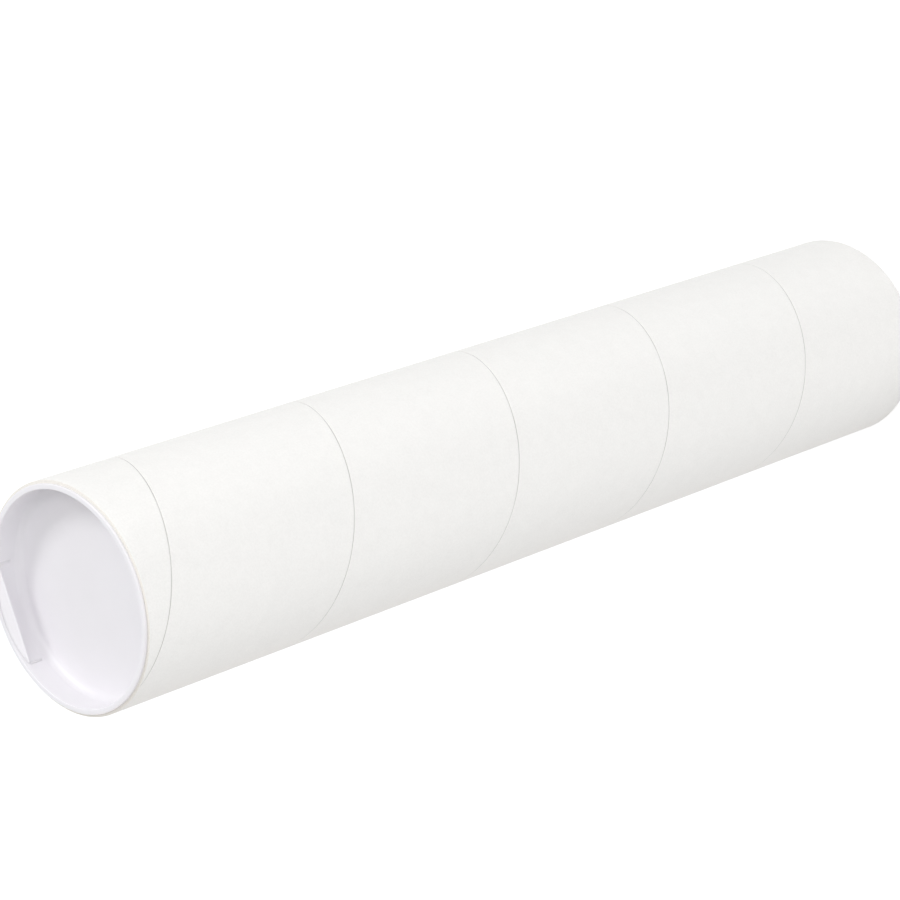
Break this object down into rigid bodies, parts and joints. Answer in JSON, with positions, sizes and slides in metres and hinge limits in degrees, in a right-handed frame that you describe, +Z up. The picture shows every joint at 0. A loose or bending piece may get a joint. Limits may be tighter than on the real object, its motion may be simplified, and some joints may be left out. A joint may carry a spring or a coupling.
{
  "type": "cardboard mailing tube",
  "caption": "Spiral-wound paperboard mailing tube standing on end, closed by recessed plastic plug caps with a finger web; the lids and tube lift apart.",
  "frame": {"origin": "on the tube's axis, at the plane that the lower cap's flange stands on", "axes": "+Z up the tube's axis towards the upper cap, +Y towards the middle of the upper cap's finger web"},
  "size_m": [0.0797, 0.0798, 0.4084],
  "materials": {
    "paperboard": "smooth white paper ply, matt",
    "cap_plastic": "satin moulded white plastic"
  },
  "bodies": {
    "lower_cap": {"bottom_end_cap": "cap_plastic"},
    "tube": {"tube": "paperboard"},
    "upper_cap": {"top_end_cap": "cap_plastic"}
  },
  "joints": [
    {"name": "tube_lift", "type": "slide", "parent": "lower_cap", "child": "tube", "axis": [0, 0, 1], "range_m": [0, 0.03]},
    {"name": "upper_cap_lift", "type": "slide", "parent": "tube", "child": "upper_cap", "axis": [0, 0, 1], "range_m": [0, 0.03]}
  ]
}
